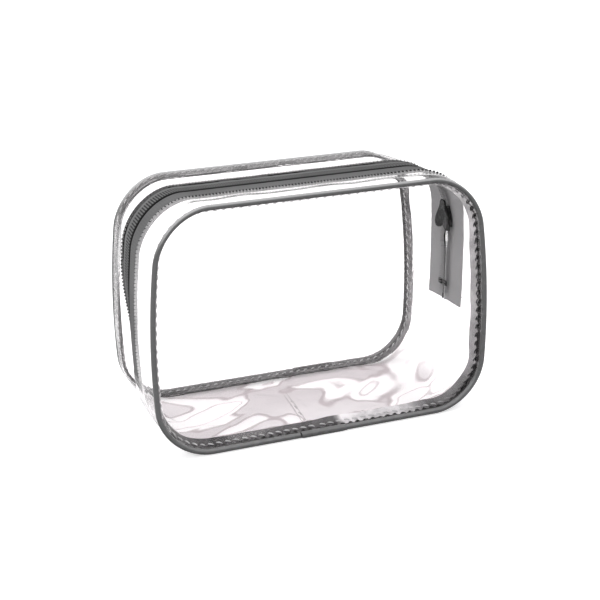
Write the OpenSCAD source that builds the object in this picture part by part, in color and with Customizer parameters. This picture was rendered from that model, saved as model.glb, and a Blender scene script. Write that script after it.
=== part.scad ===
// Clear zip bag with corded edges: two film panels joined by a gusset, with a
// coil zip over the top and down both sides.
// +Z up, +X along the width, the front panel faces -Y. The origin is at the
// middle of the face that the bag rests on.

/* [Bag] */
// Width across the corded edges
bag_w = 190; // [150:1:240]
// Height across the corded edges
bag_h = 134; // [110:1:180]
// Depth between the middles of the two corded edges
bag_d = 88; // [70:1:120]
// Corner radius at the middle of the corded edge
corner_r = 27; // [20:1:34]
// Thickness of the clear film
film_t = 0.5; // [0.3:0.1:0.6]

/* [Corded edge] */
// Diameter of the bead round the cord
bead_d = 3; // [2.6:0.1:4]
// Diameter of the cord inside the bead
cord_d = 1.9; // [1.4:0.1:2]
// Thickness of the two layers of cover below the bead
flange_t = 0.7; // [0.4:0.1:0.8]
// Width of the seam allowance from the middle of the cord
seam_w = 9.5; // [7:0.5:10]
// Diameter of the sewing thread
thread_d = 0.3; // [0.2:0.05:0.4]
// Length of the sleeve where the two ends of a cover meet
join_l = 27; // [15:1:40]

/* [Zip] */
// Width of both tapes together
tape_w = 37; // [32:1:40]
// Thickness of a tape
tape_t = 0.6; // [0.4:0.1:0.7]
// How far the clear film laps over a tape
lap_w = 4.5; // [3:0.5:6]
// Width of one coil
coil_w = 3.6; // [3:0.1:4]
// Height of a coil
coil_h = 2.6; // [2:0.1:3]
// Height of the lower end of the tapes on the right side
tape_end_right = 50; // [40:1:60]
// Height of the lower end of the tapes on the left side
tape_end_left = 30; // [28:1:60]
// Gap between the coils where the zip is undone
open_gap = 1.6; // [1.4:0.1:2]

/* [Slider] */
// Height of the middle of the slider
slider_z = 99.5; // [90:0.5:100]
// Length of the slider
slider_l = 17; // [15:0.5:18]
// Width of the slider at its two mouths
slider_w = 15.5; // [14.5:0.5:17]
// Thickness of each plate of the slider
plate_t = 1.2; // [1:0.1:1.5]
// Clearance between the slider and the zip
slider_gap = 0.35; // [0.3:0.05:0.5]
// Length of the pull tab from its pivot
tab_l = 30; // [20:1:36]
// Width of the pull tab
tab_w = 9; // [7:0.5:11]

/* [Hidden] */
$fn = 48;

clear_film = [0.92, 0.9, 0.91, 0.35];
cover_grey = [0.36, 0.37, 0.38];
tape_grey = [0.48, 0.49, 0.5];
thread_white = [0.9, 0.9, 0.9];
metal_grey = [0.2, 0.2, 0.21];

bead_r = bead_d / 2;
half_w = bag_w / 2 - bead_r;           // middle of the bead on the right side
top_z = bag_h - bead_r;                // middle of the bead along the top
side_low = bead_r + corner_r;          // lower end of a straight side
side_high = top_z - corner_r;          // upper end of a straight side
run_w = 2 * (half_w - corner_r);       // length of a straight run along the top
mid = bag_d / 2;                       // middle of the depth, from the front bead

// A cross section of the edge is drawn as [out, back]: out is the distance
// outwards from the middle of the bead, and back is the distance behind it.
// The seam allowances point inwards and back at 45 degrees. along_seam gives
// a point at the distance s along them and n to the side, towards the gusset.
function along_seam(s, n) = [n - s, n + s] / sqrt(2);

face_in = 0.8;                         // the film's outer face, behind the bead's middle
layer_1 = flange_t / 2;                // face between the cover and the film
layer_2 = layer_1 + film_t;            // inner face of the film's allowance
fold_out = sqrt(2) * face_in + layer_1;            // where the outer face folds into the seam
fold_in = sqrt(2) * (face_in + film_t) + layer_2;  // where the inner face does
stitch_s = 3.4;                        // the row of stitches, from the middle of the bead
plate_edge = seam_w;                   // width of the strip of panel drawn with the seam

// The gusset swells outwards from its seams until it is level with the beads.
swell_start = 2.8;
swell_end = 10;
film_out = bead_r;                     // outer face of the swollen gusset
film_in = film_out - film_t;
tape_in = film_in - tape_t;            // inner face of the tapes
coil_in = tape_in - coil_h;            // inner face of the coils
tape_edge = mid - tape_w / 2;          // outer edge of a tape
closed_gap = 0.1;                      // gap between the coils where the zip is done up
overlap_l = 6;                         // how far the tapes reach behind the bottom gusset
join_right = tape_end_right + overlap_l;
join_left = tape_end_left + overlap_l;
zip_stitch = tape_edge + lap_w - 1.5;  // row of stitches along the lap

// ---- Runs of a cross section round the bag ----

// Up the right side, from z0 to z1
module up_right(z0, z1) {
    translate([half_w, -mid, z0]) linear_extrude(z1 - z0) children();
}

module up_left(z0, z1) {
    mirror([1, 0, 0]) up_right(z0, z1) children();
}

module along_top() {
    translate([run_w / 2, -mid, top_z]) rotate([0, -90, 0]) linear_extrude(run_w) children();
}

module along_bottom() {
    translate([0, 0, bag_h]) mirror([0, 0, 1]) along_top() children();
}

// Round the lower right corner
module low_right_corner() {
    translate([half_w - corner_r, -mid, side_low]) rotate([-90, 0, 0])
        rotate_extrude(angle = 90, $fn = 96) translate([corner_r, 0]) children();
}

module low_left_corner() {
    mirror([1, 0, 0]) low_right_corner() children();
}

module top_corners() {
    translate([0, 0, bag_h]) mirror([0, 0, 1]) {
        low_right_corner() children();
        low_left_corner() children();
    }
}

// All the way round
module ring() {
    up_right(side_low, side_high) children();
    up_left(side_low, side_high) children();
    along_top() children();
    along_bottom() children();
    top_corners() children();
    low_right_corner() children();
    low_left_corner() children();
}

// Over the top and down both sides, to the heights at which it ends
module arch(left_z, right_z) {
    up_right(right_z, side_high) children();
    up_left(left_z, side_high) children();
    along_top() children();
    top_corners() children();
}

module to_rear() {
    mirror([0, 1, 0]) children();
}

// ---- Film ----

// Edge of a panel: a strip of its face and the seam allowance
module panel_edge_section() {
    polygon([
        [-plate_edge, face_in], along_seam(fold_out, -layer_1), along_seam(seam_w, -layer_1),
        along_seam(seam_w, -layer_2), along_seam(fold_in, -layer_2), [-plate_edge, face_in + film_t]
    ]);
}

// Rounded rectangle of the panel's face, inside the strip that the seam carries
module panel_outline() {
    inner_r = corner_r - plate_edge;
    inner_w = 2 * (half_w - plate_edge);
    square([inner_w, side_high - side_low], center = true);
    square([run_w, side_high - side_low + 2 * inner_r], center = true);
    for (sx = [-1, 1], sz = [-1, 1])
        translate([sx * run_w / 2, sz * (side_high - side_low) / 2]) circle(inner_r, $fn = 96);
}

module panel() {
    ring() panel_edge_section();
    translate([0, face_in + film_t - mid, bag_h / 2]) rotate([90, 0, 0])
        linear_extrude(film_t) panel_outline();
}

module front_panel() color(clear_film) panel();

module rear_panel() color(clear_film) to_rear() panel();

// Front half of the gusset's section, in order from its swollen part at the
// depth y, round the seam allowance and back
function gusset_points(y) = [
    [film_out, y], [film_out, swell_end], [-face_in, swell_start],
    along_seam(fold_out, layer_1), along_seam(seam_w, layer_1), along_seam(seam_w, layer_2),
    along_seam(fold_in, layer_2), [-face_in - film_t, swell_start + 0.2],
    [film_in, swell_end + 0.2], [film_in, y]
];

module whole_gusset_section() {
    polygon(gusset_points(mid));
    translate([0, bag_d]) mirror([0, 1]) polygon(gusset_points(mid));
}

module bottom_gusset() color(clear_film) {
    along_bottom() whole_gusset_section();
    low_right_corner() whole_gusset_section();
    low_left_corner() whole_gusset_section();
    up_right(side_low, join_right) whole_gusset_section();
    up_left(side_low, join_left) whole_gusset_section();
}

module zip_strip() {
    arch(join_left, join_right) polygon(gusset_points(tape_edge + lap_w));
}

module zip_strip_front() color(clear_film) zip_strip();

module zip_strip_rear() color(clear_film) to_rear() zip_strip();

// ---- Corded edges ----

module cover_section() {
    circle(bead_r);
    rotate(135) translate([0, -layer_1]) square([seam_w, flange_t]);
}

module piping_cover() {
    difference() {
        ring() cover_section();
        ring() circle(cord_d / 2);
    }
}

module front_piping_cover() color(cover_grey) piping_cover();

module rear_piping_cover() color(cover_grey) to_rear() piping_cover();

module front_piping_cord() color(thread_white) ring() circle(cord_d / 2);

module rear_piping_cord() color(thread_white) to_rear() front_piping_cord();

// Sleeve over the bead where the two ends of the cover meet, flat underneath
// and open at the back, where the seam is
module piping_join(x) {
    sleeve_r = bead_r + 0.35;
    translate([x - join_l / 2, -mid, bead_r]) rotate([0, 90, 0]) difference() {
        cylinder(r = sleeve_r, h = join_l);
        translate([0, 0, -1]) cylinder(r = bead_r, h = join_l + 2);
        translate([bead_r - 0.15, -sleeve_r - 1, -1]) cube([2, 2 * sleeve_r + 2, join_l + 2]);
        translate([-sleeve_r - 1, 0.2, -1]) cube([2 * sleeve_r + 2, sleeve_r + 1, join_l + 2]);
    }
}

module front_piping_join() color(cover_grey) piping_join(-2);

module rear_piping_join() color(cover_grey) to_rear() piping_join(30);

// ---- Threads ----

// Needle thread and bobbin thread of a seam, one on each face of its layers
module seam_thread() {
    for (side = [-1, 1])
        ring() translate(along_seam(stitch_s, side * (layer_2 + thread_d / 2)))
            circle(thread_d / 2, $fn = 16);
}

module seam_thread_front() color(thread_white) seam_thread();

module seam_thread_rear() color(thread_white) to_rear() seam_thread();

// Row of stitches along the lap of the clear film over a tape
module zip_thread() {
    arch(join_left, join_right) translate([film_out + thread_d / 2, zip_stitch])
        circle(thread_d / 2, $fn = 16);
}

module zip_thread_front() color(thread_white) zip_thread();

module zip_thread_rear() color(thread_white) to_rear() zip_thread();

// Row of stitches that holds the tapes' ends to the bottom gusset
module side_seam_thread(z) {
    translate([half_w + film_out + thread_d / 2, -tape_w / 2, z]) rotate([-90, 0, 0])
        cylinder(d = thread_d, h = tape_w, $fn = 16);
}

module side_seam_thread_right() color(thread_white) side_seam_thread(join_right - 3);

module side_seam_thread_left() color(thread_white)
    mirror([1, 0, 0]) side_seam_thread(join_left - 3);

// ---- Zip ----

// Done up over the top and the left side, and undone below the slider
module zip_run(y0, y1, out_0, out_1) {
    gap_half = closed_gap / 2;
    apart = (open_gap - closed_gap) / 2;
    arch(tape_end_left, slider_z) translate([out_0, y0]) square([out_1 - out_0, y1 - gap_half - y0]);
    up_right(tape_end_right, slider_z)
        translate([out_0, y0]) square([out_1 - out_0, y1 - gap_half - apart - y0]);
}

module zip_tape() {
    zip_run(tape_edge, mid, tape_in, film_in);
}

// The coil stays the same width where the zip is undone and stands further out.
module zip_coil() {
    gap_half = closed_gap / 2;
    apart = (open_gap - closed_gap) / 2;
    coil_y = mid - gap_half - coil_w;
    arch(tape_end_left + 4, slider_z) translate([coil_in, coil_y]) square([coil_h, coil_w]);
    up_right(tape_end_right + 4, slider_z)
        translate([coil_in, coil_y - apart]) square([coil_h, coil_w]);
}

module zip_tape_front() color(tape_grey) zip_tape();

module zip_tape_rear() color(tape_grey) to_rear() zip_tape();

module zip_coil_front() color(tape_grey) zip_coil();

module zip_coil_rear() color(tape_grey) to_rear() zip_coil();

// Staples that stop the slider, bent over the ends of the coils
stop_l = 3;
stop_t = 0.6;

module zip_top_stops() color(metal_grey)
    for (side = [-1, 1])
        translate([half_w + coil_in - stop_t, side * (open_gap + coil_w) / 2 - coil_w / 2, tape_end_right + 8])
            cube([stop_t, coil_w, stop_l]);

module zip_bottom_stop() color(metal_grey) mirror([1, 0, 0])
    translate([half_w + coil_in - stop_t, -coil_w, tape_end_left + 8])
        cube([stop_t, 2 * coil_w, stop_l]);

// Bar of thread that ties the rear tape's edge to the film near its end
module zip_end_tack() color(metal_grey)
    translate([half_w + tape_in - 0.5, tape_w / 2 - 6, tape_end_right + 11]) cube([0.5, 5.5, 1.2]);

// ---- Slider and pull tab ----

inner_face = half_w + coil_in - slider_gap;    // inside of the inner plate
outer_face = half_w + film_in + slider_gap;    // inside of the outer plate
flange_in = coil_w + open_gap / 2 + slider_gap;
wing_t = 1.3;                                  // thickness of the side walls
neck_w = 2 * (flange_in + wing_t);             // width at the end that closes the zip
bridge_w = 3;
bridge_rise = 3.6;                             // height of the bridge over the outer plate
bridge_l = 10;
bridge_t = 1.1;
axle_r = 0.75;                                 // bar of the tab that lies under the bridge
pivot_x = outer_face + plate_t + bridge_rise - bridge_t - axle_r - 0.2;
tab_t = 1.5;
eye_w = bridge_w + 1.2;                        // window of the tab round the bridge

// Shield outline of a plate: two round mouths at the bottom, one neck on top,
// drawn as [across, up] about the middle of the slider
function arc(cx, cy, r, a0, a1, steps = 8) =
    [for (i = [0:steps]) [cx + r * cos(a0 + (a1 - a0) * i / steps), cy + r * sin(a0 + (a1 - a0) * i / steps)]];

module shield() {
    lobe_r = slider_w / 4;
    lobe_y = -slider_l / 2 + lobe_r;
    lobe_x = slider_w / 2 - lobe_r;
    neck_r = 2;
    neck_x = neck_w / 2 - neck_r - 0.6;
    neck_y = slider_l / 2 - neck_r;
    polygon(concat(
        arc(lobe_x, lobe_y, lobe_r, -150, 10), arc(neck_x, neck_y, neck_r, 10, 90),
        arc(-neck_x, neck_y, neck_r, 90, 170), arc(-lobe_x, lobe_y, lobe_r, 170, 330)
    ));
}

// Plate whose inner corner is at the distance x, lying in the plane of the side
module shield_plate(x) {
    translate([x, 0, slider_z]) rotate([90, 0, 90]) linear_extrude(plate_t) shield();
}

// Side wall of the slider that keeps the coil in its channel
module side_wall() {
    wall_h = half_w + tape_in - slider_gap - inner_face;
    wall_l = slider_l - 5;
    translate([inner_face - 0.2, flange_in, slider_z - wall_l / 2 - 0.5]) cube([wall_h + 0.2, wing_t, wall_l]);
}

// Wedge between the two mouths, which joins the plates
module divider() {
    wedge_w = open_gap - 0.7;
    translate([inner_face - 0.2, -wedge_w / 2, slider_z - slider_l / 2 + 2.2])
        cube([outer_face - inner_face + 0.4, wedge_w, 4]);
}

// Arch over the outer plate that holds the tab
module bridge() {
    translate([outer_face + plate_t - 0.2, -bridge_w / 2, slider_z - bridge_l / 2]) difference() {
        cube([bridge_rise + 0.2, bridge_w, bridge_l]);
        translate([-1, -1, bridge_t]) cube([bridge_rise + 1.2 - bridge_t, bridge_w + 2, bridge_l - 2 * bridge_t]);
    }
}

module slider_body() color(metal_grey) {
    shield_plate(inner_face - plate_t);
    shield_plate(outer_face);
    side_wall();
    to_rear() side_wall();
    divider();
    bridge();
}

// Hangs from its axle: a frame round the bridge and a plate with a round end
module pull_tab() color(metal_grey) {
    arm_w = (tab_w - eye_w) / 2;
    eye_l = 9;
    translate([pivot_x, -tab_w / 2, slider_z]) rotate([-90, 0, 0]) cylinder(r = axle_r, h = tab_w);
    for (side = [-1, 1])
        translate([pivot_x - tab_t / 2, side * (eye_w + arm_w) / 2 - arm_w / 2, slider_z - eye_l])
            cube([tab_t, arm_w, eye_l]);
    translate([pivot_x - tab_t / 2, -tab_w / 2, slider_z - tab_l + tab_w / 2])
        cube([tab_t, tab_w, tab_l - tab_w / 2 - eye_l + 0.1]);
    translate([pivot_x - tab_t / 2, 0, slider_z - tab_l + tab_w / 2]) rotate([0, 90, 0])
        cylinder(d = tab_w, h = tab_t);
}

front_panel();
rear_panel();
bottom_gusset();
zip_strip_front();
zip_strip_rear();
front_piping_cover();
rear_piping_cover();
front_piping_cord();
rear_piping_cord();
front_piping_join();
rear_piping_join();
zip_tape_front();
zip_tape_rear();
zip_coil_front();
zip_coil_rear();
zip_top_stops();
zip_bottom_stop();
zip_end_tack();
slider_body();
pull_tab();
seam_thread_front();
seam_thread_rear();
zip_thread_front();
zip_thread_rear();
side_seam_thread_left();
side_seam_thread_right();
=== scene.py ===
"""Clear zip bag with grey corded edges: the looks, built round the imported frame.

The bag's edges follow one closed path, a rounded rectangle in the X-Z plane,
and every long piece is a cross section carried along it. A cross section is
drawn as (out, back): out is the distance outwards from the middle of the bead
and back is the distance behind the middle of the front bead.
"""
import math

import bmesh
import bpy
import numpy as np
from mathutils import Matrix, Vector


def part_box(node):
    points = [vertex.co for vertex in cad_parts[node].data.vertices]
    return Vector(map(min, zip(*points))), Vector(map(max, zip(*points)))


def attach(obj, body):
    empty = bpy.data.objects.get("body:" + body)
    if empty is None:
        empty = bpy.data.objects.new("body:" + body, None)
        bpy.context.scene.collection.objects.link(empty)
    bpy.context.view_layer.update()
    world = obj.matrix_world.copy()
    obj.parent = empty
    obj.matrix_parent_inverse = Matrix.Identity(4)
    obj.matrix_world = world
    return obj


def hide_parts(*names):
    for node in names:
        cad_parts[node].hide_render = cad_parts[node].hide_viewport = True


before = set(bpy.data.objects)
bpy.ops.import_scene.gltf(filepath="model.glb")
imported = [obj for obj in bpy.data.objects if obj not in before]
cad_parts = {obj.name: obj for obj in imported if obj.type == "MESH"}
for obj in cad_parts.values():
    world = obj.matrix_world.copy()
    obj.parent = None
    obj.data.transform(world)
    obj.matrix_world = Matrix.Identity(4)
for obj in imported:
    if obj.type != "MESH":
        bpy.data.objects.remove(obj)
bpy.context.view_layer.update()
MM = 0.001
QUARTER_TURN = math.pi / 2

# ---------------------------------------------------------------------------
# Sizes in metres, read from the frame where it has them
# ---------------------------------------------------------------------------
cover_low, cover_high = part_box("front_piping_cover")
tape_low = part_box("zip_tape_front")[0]
strip_low, strip_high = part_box("zip_strip_front")
slider_low, slider_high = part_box("slider_body")
tab_low, tab_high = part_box("pull_tab")

BEAD_R = 1.5 * MM
HALF_W = cover_high.x - BEAD_R          # middle of the bead on the right side
LOW_Z = cover_low.z + BEAD_R            # middle of the bead along the bottom
HIGH_Z = cover_high.z - BEAD_R          # middle of the bead along the top
MID = -(cover_low.y + BEAD_R)           # half the depth between the beads
CORNER_R = 27 * MM
FILM = 0.5 * MM
# width of the seam allowance from the bead's middle, and how far it leans inwards,
# in front and at the rear
SEAM_W = {False: 9.5 * MM, True: 7.8 * MM}
LEAN = {False: math.radians(20), True: math.radians(4)}
FACE_IN = 1.5 * MM                      # a panel's outer face behind the bead's middle
SWELL = BEAD_R                          # outer face of the gusset's swollen middle
FLANGE_HALF = 0.3 * MM                  # half the thickness of the cover's flange
VINYL = 0.28 * MM                       # one layer of the cover
TURN_S, TURN_R = 2.2 * MM, 0.6 * MM     # the loop where the gusset turns into its allowance
LAYER = 0.38 * MM                       # face of the film's allowance beside the flange
TAPE_T = 0.5 * MM
LAP_EDGE = strip_high.y + MID           # edge of the film that laps over the tape
JOIN_RIGHT = 56 * MM                    # where the strips end on the right side
JOIN_LEFT = strip_low.z                 # and on the left side
END_LEFT = tape_low.z                   # lower ends of the tapes
END_RIGHT = END_LEFT + 20 * MM
SLIDER_Z = (slider_low.z + slider_high.z) / 2
MIDDLE = (0, 0, 67 * MM)                # of the whole bag

# ---------------------------------------------------------------------------
# The path round the bag
# ---------------------------------------------------------------------------
RUN = HALF_W - CORNER_R                 # half a straight run along the top
SIDE_LOW = LOW_Z + CORNER_R
SIDE_HIGH = HIGH_Z - CORNER_R
ARC = CORNER_R * QUARTER_TURN
SIDE = SIDE_HIGH - SIDE_LOW
KNOTS = np.cumsum([0, RUN, ARC, SIDE, ARC, 2 * RUN, ARC, SIDE, ARC, RUN])
TURNS = np.array([0, 0, 1, 1, 2, 2, 3, 3, 4, 4]) * QUARTER_TURN
CENTRES_X = RUN * np.array([0, 1, 1, 1, 1, -1, -1, -1, -1, 0])
CENTRES_Z = np.where([0, 0, 0, 1, 1, 1, 1, 0, 0, 0], SIDE_HIGH, SIDE_LOW)
LENGTH = KNOTS[-1]


def on_right(z):
    """Distance along the path of the point at the height z on the right side."""
    return KNOTS[2] + z - SIDE_LOW


def on_left(z):
    """The same on the left side, which the path comes down."""
    return KNOTS[7] - (z - SIDE_LOW)


def smooth(x):
    """0 below 0, 1 above 1 and 3x^2 - 2x^3 between."""
    x = np.clip(x, 0, 1)
    return x * x * (3 - 2 * x)


def bell(x):
    """A bump that is 1 at 0 and falls off as exp(-x^2)."""
    return np.exp(-x * x)


WIDEST_Z = 54 * MM                      # the sides lean in above and below this height
SIDE_BOW_R = 428 * MM                   # radius of a side's bow
REAR_NARROWER, REAR_LOWER, FRONT_LOWER = 0.042, 0.028, 0.006


def settle(p):
    """The set that the soft bag has taken. The edges bow in away from their
    widest height as the square of the distance, and the rear face is a little
    smaller than the front one. Beside the slider the zip's own width keeps
    its place."""
    x, y, z = p[..., 0], p[..., 1], p[..., 2]
    depth = np.clip((y + MID) / (2 * MID), 0, 1)
    by_slider = smooth((x - 45 * MM) / (40 * MM))
    held = smooth((np.abs(y) - 16 * MM) / (MID - 16 * MM))
    to_rear = depth + (smooth((y - 8 * MM) / (MID - 8 * MM)) - depth) * by_slider
    to_edge = 1 + (held - 1) * by_slider
    bow = (z - WIDEST_Z) ** 2 / (2 * SIDE_BOW_R) * to_edge
    across = np.clip(x / HALF_W, -1, 1)
    new_x = (x - bow * across) * (1 - REAR_NARROWER * to_rear)
    new_z = z * (1 - FRONT_LOWER - (REAR_LOWER - FRONT_LOWER) * depth)
    return np.stack([new_x, y, new_z], axis=-1)


def place(s, out, back, rear=False):
    """Points at the distance s along the path. The path's corner centre plus
    the corner radius and out along the outward normal, at the depth back; a
    rear piece is the mirror image in depth."""
    s, out, back = np.broadcast_arrays(s, out, back)
    turned = np.mod(s, LENGTH)
    angle = np.interp(turned, KNOTS, TURNS)
    reach = CORNER_R + out
    x = np.interp(turned, KNOTS, CENTRES_X) + reach * np.sin(angle)
    z = np.interp(turned, KNOTS, CENTRES_Z) - reach * np.cos(angle)
    y = back - MID
    return settle(np.stack([x, -y if rear else y, z], axis=-1))


def along_seam(s, n, rear=False):
    """(out, back) of a point s down the seam allowance, which points back and
    leans inwards, and n beside it towards the gusset."""
    cos, sin = math.cos(LEAN[rear]), math.sin(LEAN[rear])
    s, n = np.broadcast_arrays(np.asarray(s, float), np.asarray(n, float))
    return np.stack([n * cos - s * sin, n * sin + s * cos], axis=-1)


def sunk(s, back, rear=False):
    """How far the gusset and the strips lie inside the bead's outer side: all
    along the top and below the zip on the right. The left side bulges in
    front and falls in at the rear, which turns the zip there away."""
    s = np.mod(s, LENGTH)
    places = [0, KNOTS[1], KNOTS[2], on_right(40 * MM), on_right(62 * MM), on_right(92 * MM),
              KNOTS[4], KNOTS[5], KNOTS[6], on_left(60 * MM), KNOTS[8], KNOTS[9]]
    depths = np.array([0, 0.2, 1.8, 2.2, 1.0, 0.3, 1.6, 1.8, -1.2, -1.1, 0, 0]) * MM
    edge = np.minimum(back, 2 * MID - back)
    depth = 2 * MID - back if rear else back
    height = SIDE_LOW + KNOTS[7] - s
    turned = smooth((95 * MM - height) / (50 * MM)) * smooth((height - 2 * MM) / (20 * MM))
    turned = turned * smooth((depth - MID + 5 * MM) / (24 * MM)) * (s > KNOTS[5])
    return (np.interp(s, places, depths) + 6 * MM * turned) * smooth((edge - 9 * MM) / (14 * MM))


def spline(points, count):
    """Catmull-Rom curve through the points, sampled evenly in its parameter."""
    p = np.asarray(points, float)
    p = np.vstack([2 * p[0] - p[1], p, 2 * p[-1] - p[-2]])
    t = np.linspace(0, len(p) - 3, count)
    i = np.minimum(t.astype(int), len(p) - 4)
    u = (t - i)[:, None]
    a, b, c, d = p[i], p[i + 1], p[i + 2], p[i + 3]
    square, cube = 2 * a - 5 * b + 4 * c - d, 3 * b - a - 3 * c + d
    return 0.5 * (2 * b + (c - a) * u + square * u**2 + cube * u**3)


def ripple(u, v, size, seed, waves=7):
    """Smooth random height from -1 to 1: a sum of plane waves whose lengths
    lie round size, with directions and phases drawn from the seed."""
    draw = np.random.default_rng(seed)
    angle, phase = draw.uniform(0, 2 * math.pi, (2, waves))
    number = 2 * math.pi / (size * draw.uniform(0.7, 1.6, waves))
    u, v = np.asarray(u)[..., None], np.asarray(v)[..., None]
    return np.sin(number * (u * np.cos(angle) + v * np.sin(angle)) + phase).sum(-1) / waves**0.5 / 1.6


# ---------------------------------------------------------------------------
# Meshes
# ---------------------------------------------------------------------------
def linked(name, data):
    """Object with the data, in the scene."""
    made = bpy.data.objects.new(name, data)
    bpy.context.scene.collection.objects.link(made)
    return made


def mesh_object(name, verts, faces, uv, sharp=40):
    """Object from vertices, quads (a triangle repeats its last corner) and one
    uv pair for each vertex. Doubles are merged and the faces turned outwards."""
    mesh = bpy.data.meshes.new(name)
    mesh.vertices.add(len(verts))
    mesh.vertices.foreach_set("co", np.asarray(verts, np.float32).ravel())
    faces = np.asarray(faces, np.int32)
    mesh.loops.add(faces.size)
    mesh.loops.foreach_set("vertex_index", faces.ravel())
    mesh.polygons.add(len(faces))
    mesh.polygons.foreach_set("loop_start", np.arange(0, faces.size, 4, dtype=np.int32))
    mesh.update(calc_edges=True)
    layer = mesh.uv_layers.new(name="along")
    layer.data.foreach_set("uv", np.asarray(uv, np.float32)[faces.ravel()].ravel())
    work = bmesh.new()
    work.from_mesh(mesh)
    bmesh.ops.remove_doubles(work, verts=work.verts, dist=1e-7)
    bmesh.ops.dissolve_degenerate(work, edges=work.edges, dist=1e-8)
    bmesh.ops.recalc_face_normals(work, faces=work.faces)
    work.to_mesh(mesh)
    work.free()
    mesh.polygons.foreach_set("use_smooth", np.ones(len(mesh.polygons), bool))
    mesh.set_sharp_from_angle(angle=math.radians(sharp))
    return linked(name, mesh)


def grid_faces(rows, columns, close_rows=False, close_columns=False):
    """Quads of a grid of vertices, optionally joined end to end either way."""
    i = np.arange(rows if close_rows else rows - 1)[:, None]
    j = np.arange(columns if close_columns else columns - 1)[None, :]
    i2, j2 = (i + 1) % rows, (j + 1) % columns
    corners = [i * columns + j, i * columns + j2, i2 * columns + j2, i2 * columns + j]
    return np.stack(np.broadcast_arrays(*corners), axis=-1).reshape(-1, 4)


def grid_uv(u, v):
    """uv of a grid whose rows lie at u and whose columns lie at v."""
    return np.stack(np.broadcast_arrays(u[:, None], v[None]), axis=-1)


def shell(name, outer, inner, uv, closed=False, rims=(True, True), sharp=40):
    """Closed sheet between an outer and an inner grid of points, with rims
    along both long edges and, unless it is closed along its rows, both ends.
    uv is an array like the grids' first two axes by 2."""
    rows, columns = outer.shape[:2]
    if closed:  # the last row repeats the first, so that its uv can differ
        outer = np.concatenate([outer, outer[:1]])
        inner = np.concatenate([inner, inner[:1]])
        rows += 1
    total = rows * columns
    top = grid_faces(rows, columns)
    index = np.arange(total).reshape(rows, columns)
    faces = [top, top[:, ::-1] + total]
    edges = [index[:, 0]] * rims[0] + [index[:, -1]] * rims[1]
    if not closed:
        edges += [index[0], index[-1]]
    for edge in edges:
        faces.append(np.stack([edge[:-1], edge[1:], edge[1:] + total, edge[:-1] + total], axis=-1))
    verts = np.concatenate([outer.reshape(-1, 3), inner.reshape(-1, 3)])
    uv = np.tile(uv.reshape(-1, 2), (2, 1))
    return mesh_object(name, verts, np.concatenate(faces), uv, sharp)


def tube(name, points, aside, radius, sides, closed=False):
    """Round tube along points: at each one a circle in the plane of aside and
    of the tangent's cross product with it. Open ends are closed with a fan."""
    tangent = np.gradient(points, axis=0)
    if closed:
        tangent = np.roll(points, -1, 0) - np.roll(points, 1, 0)
    tangent /= np.linalg.norm(tangent, axis=1, keepdims=True)
    aside = aside - (aside * tangent).sum(1, keepdims=True) * tangent
    aside /= np.linalg.norm(aside, axis=1, keepdims=True)
    third = np.cross(tangent, aside)
    a = np.linspace(0, 2 * math.pi, sides, endpoint=False)
    radius = np.broadcast_to(radius, len(points))[:, None, None]
    ring = aside[:, None] * np.cos(a)[:, None] + third[:, None] * np.sin(a)[:, None]
    grid = points[:, None] + radius * ring
    rows = len(points)
    if not closed:
        first, last = (np.repeat(end[None], sides, 1) for end in (points[:1], points[-1:]))
        grid = np.concatenate([first, grid, last])
        rows += 2
    uv = grid_uv(np.arange(rows), np.arange(sides) / sides).reshape(-1, 2)
    return mesh_object(name, grid.reshape(-1, 3), grid_faces(rows, sides, closed, True), uv, 60)


def capped(name, grid, ends):
    """Object from rings of points, with a fan to an end point at either end."""
    rows, columns = grid.shape[:2]
    verts = np.vstack([grid.reshape(-1, 3), ends])
    faces = [grid_faces(rows, columns, close_columns=True)]
    for row, middle in ((0, rows * columns), (rows - 1, rows * columns + 1)):
        first = row * columns + np.arange(columns)
        after = row * columns + (np.arange(columns) + 1) % columns
        faces.append(np.stack([first, after, 0 * first + middle, 0 * first + middle], -1))
    return mesh_object(name, verts, np.concatenate(faces), verts[:, 1:])


def join(name, objects):
    """One object from several meshes with the same uv layer."""
    work = bmesh.new()
    for piece in objects:
        work.from_mesh(piece.data)
    mesh = bpy.data.meshes.new(name)
    work.to_mesh(mesh)
    work.free()
    for piece in objects:
        bpy.data.objects.remove(piece)
    return linked(name, mesh)


# ---------------------------------------------------------------------------
# Film: two panels, the bottom gusset and the two strips beside the zip
# ---------------------------------------------------------------------------
def film_uv(s, section):
    """uv of a shell: u is the distance along the path, v the distance across
    the section, both in metres."""
    steps = np.linalg.norm(np.diff(section, axis=0), axis=1)
    return grid_uv(s, np.concatenate([[0], np.cumsum(steps)]))


def allowance(side, rear):
    """Outer and inner points of a seam allowance, from its fold to its cut
    edge. side is -1 for the panel's layer, which turns straight into the
    panel, and 1 for the gusset's, which doubles back round a small loop."""
    sections = []
    for thick, turn in ((0, TURN_R), (FILM, TURN_R - FILM)):
        n = side * (LAYER + thick)
        if side < 0:
            start = (FACE_IN + thick - n * math.sin(LEAN[rear])) / math.cos(LEAN[rear])
            loop_points = np.empty((0, 2))
        else:
            start = TURN_S
            a = np.linspace(QUARTER_TURN, -QUARTER_TURN, 9)[:-1]
            loop_points = along_seam(TURN_S - turn * np.cos(a), LAYER + TURN_R + turn * np.sin(a), rear)
        down = start + (SEAM_W[rear] - start) * np.linspace(0, 1, 9) ** 1.3
        sections.append(np.vstack([loop_points, along_seam(down, n, rear)]))
    return sections


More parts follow.
